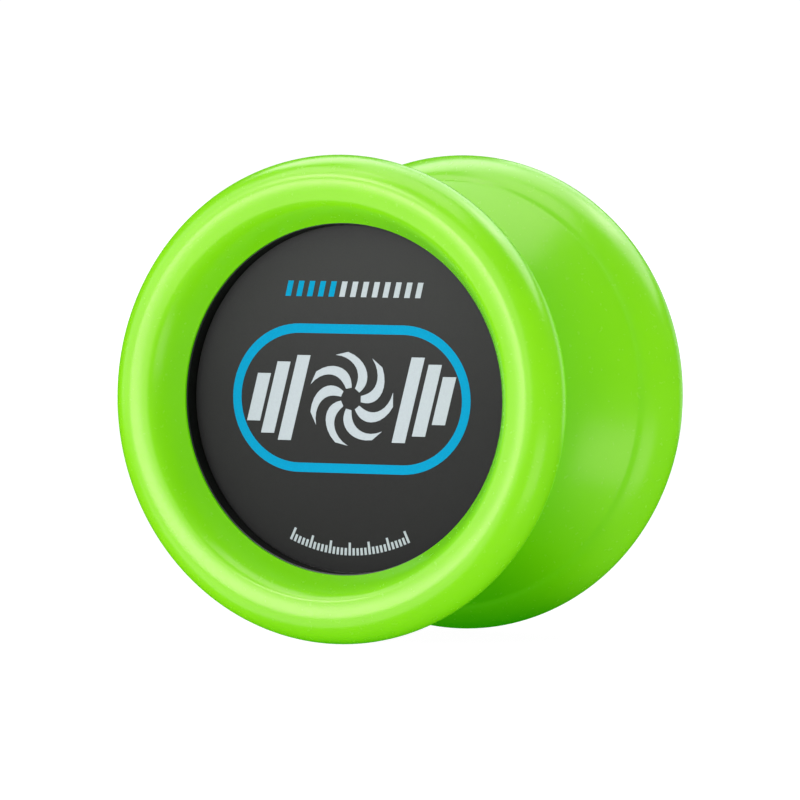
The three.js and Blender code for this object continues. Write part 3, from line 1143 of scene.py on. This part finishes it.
def add_floor():
    """A pale floor that the eye sees, and a white card on it that only the light sees."""
    floor = add_sheet("studio_floor", FLOOR_SIZE, FLOOR_DROP)
    floor.data.materials.append(floor_paper())
    floor.visible_diffuse = False
    floor.visible_glossy = False
    card = add_sheet("bounce_card", CARD_SIZE, CARD_DROP)
    card.data.materials.append(card_paper())
    card.visible_camera = False
    card.visible_glossy = False
    for sheet in (floor, card):
        sheet.visible_shadow = False


def direction(azimuth, elevation):
    """The direction from the object towards a place at that azimuth and elevation, in degrees."""
    a, e = math.radians(azimuth), math.radians(elevation)
    return Vector((math.sin(a) * math.cos(e), -math.cos(a) * math.cos(e), math.sin(e)))


def add_softbox(name, azimuth, elevation, distance, width, height, power, gloss):
    """A rectangular light facing the object. It shows only as a highlight if gloss is true, and
    otherwise only as soft light."""
    light = bpy.data.lights.new(name, "AREA")
    light.shape = "RECTANGLE"
    light.size, light.size_y = width, height
    light.energy = power
    obj = bpy.data.objects.new(name, light)
    bpy.context.scene.collection.objects.link(obj)
    towards = direction(azimuth, elevation)
    obj.location = towards * distance
    obj.rotation_euler = towards.to_track_quat("Z", "Y").to_euler()
    obj.visible_camera = False
    obj.visible_glossy = gloss
    obj.visible_diffuse = not gloss


PANEL_DISTANCE = 0.85

# name, azimuth and elevation in degrees, width and height in metres, power in watts
HIGHLIGHT_PANELS = [
    ("key", -22, 4.5, 0.31, 0.24, 1.9),
    ("key_above", -26, 30, 0.36, 0.14, 1.8),
    ("front_panel", -14, 16, 1.2, 0.8, 5.2),
    ("low_front_panel", -30, -28, 1.0, 0.5, 3.4),
    ("low_right_panel", 72, -24, 0.6, 0.35, 1.3),
    ("left_panel", -65, 20, 0.6, 0.8, 2.8),
    ("upper_left_panel", -45, 52, 0.5, 0.3, 2.0),
    ("back_left_panel", -135, 52, 0.5, 0.4, 0.8),
    ("back_panel", 182, 32, 0.5, 0.3, 1.0),
    ("back_right_panel", 145, 40, 0.45, 0.45, 1.8),
    ("overhead_panel", -165, 62, 1.1, 0.5, 5.2),
    ("top_panel", 0, 78, 0.6, 0.6, 3.6),
    ("edge_panel", 172, 4, 0.4, 0.3, 0.25),
]


def add_lights():
    """A soft fill for the body colour, and panels that only show as highlights."""
    add_softbox("front_fill", azimuth=5, elevation=-5, distance=0.9,
                width=0.7, height=0.3, power=2.0, gloss=False)
    for name, azimuth, elevation, width, height, power in HIGHLIGHT_PANELS:
        add_softbox(name, azimuth, elevation, PANEL_DISTANCE, width, height, power, gloss=True)


WORLD_LEVEL = 2.42
WORLD_TO_THE_EYE = 1.05
OVERHEAD_LEVEL = 0.65
DIM_PATCH = direction(80, 10)
DIM_PATCH_LEVEL = 0.5


def add_world():
    """White to the eye. As a light it comes from above the floor, fades a little overhead, and
    has a dimmer patch to the right."""
    world = bpy.data.worlds.new("studio")
    bpy.context.scene.world = world
    world.use_nodes = True
    world.cycles_visibility.glossy = False
    nodes, links = world.node_tree.nodes, world.node_tree.links
    nodes.clear()
    place = nodes.new("ShaderNodeTexCoord").outputs["Generated"]

    def by_direction(towards, start, end, low, high):
        """A level that runs from low to high as a ray turns towards the direction; start and
        end are cosines of the angle between them."""
        along = nodes.new("ShaderNodeVectorMath")
        along.operation = "DOT_PRODUCT"
        along.inputs[1].default_value = towards
        links.new(place, along.inputs[0])
        level = nodes.new("ShaderNodeMapRange")
        level.inputs["From Min"].default_value = start
        level.inputs["From Max"].default_value = end
        level.inputs["To Min"].default_value = low
        level.inputs["To Max"].default_value = high
        links.new(along.outputs["Value"], level.inputs["Value"])
        return level.outputs["Result"]

    def times(first, second):
        product = nodes.new("ShaderNodeMath")
        product.operation = "MULTIPLY"
        links.new(first, product.inputs[0])
        links.new(second, product.inputs[1])
        return product.outputs["Value"]

    up = (0, 0, 1)
    above_floor = by_direction(up, -0.25, 0.15, 0.0, WORLD_LEVEL)
    patched = times(above_floor, by_direction(DIM_PATCH, 0.5, 0.9, 1.0, DIM_PATCH_LEVEL))
    level = times(patched, by_direction(up, 0.2, 1.0, 1.0, OVERHEAD_LEVEL))
    as_light = nodes.new("ShaderNodeBackground")
    links.new(level, as_light.inputs["Strength"])
    to_the_eye = nodes.new("ShaderNodeBackground")
    to_the_eye.inputs["Color"].default_value = (1, 1, 1, 1)
    to_the_eye.inputs["Strength"].default_value = WORLD_TO_THE_EYE
    path = nodes.new("ShaderNodeLightPath")
    mix = nodes.new("ShaderNodeMixShader")
    links.new(path.outputs["Is Camera Ray"], mix.inputs[0])
    links.new(as_light.outputs[0], mix.inputs[1])
    links.new(to_the_eye.outputs[0], mix.inputs[2])
    out = nodes.new("ShaderNodeOutputWorld")
    links.new(mix.outputs[0], out.inputs["Surface"])


# Angles in degrees, lengths in metres, and the lens in millimetres
CAMERA_AZIMUTH = 25.47
CAMERA_ELEVATION = 1.94
CAMERA_ROLL = 0.49
CAMERA_DISTANCE = 0.9024
CAMERA_SIDESTEP = -0.0002
CAMERA_LIFT = -0.0005
CAMERA_LENS = 343.0


def add_camera():
    """A long lens to the right of the front face, a little above its centre."""
    back = direction(CAMERA_AZIMUTH, CAMERA_ELEVATION)
    azimuth = math.radians(CAMERA_AZIMUTH)
    level = Vector((math.cos(azimuth), math.sin(azimuth), 0))
    right = Matrix.Rotation(math.radians(CAMERA_ROLL), 3, back) @ level
    up = back.cross(right)
    data = bpy.data.cameras.new("camera")
    data.lens = CAMERA_LENS
    data.sensor_width = 36
    data.clip_start, data.clip_end = 0.05, 30
    camera = bpy.data.objects.new("camera", data)
    bpy.context.scene.collection.objects.link(camera)
    turn = Matrix((right, up, back)).transposed().to_4x4()
    place = back * CAMERA_DISTANCE + right * CAMERA_SIDESTEP + up * CAMERA_LIFT
    camera.matrix_world = Matrix.Translation(place) @ turn
    bpy.context.scene.camera = camera


add_camera()
build_halves()
build_hub()
add_floor()
add_lights()
add_world()
bpy.context.scene.view_settings.view_transform = "Standard"
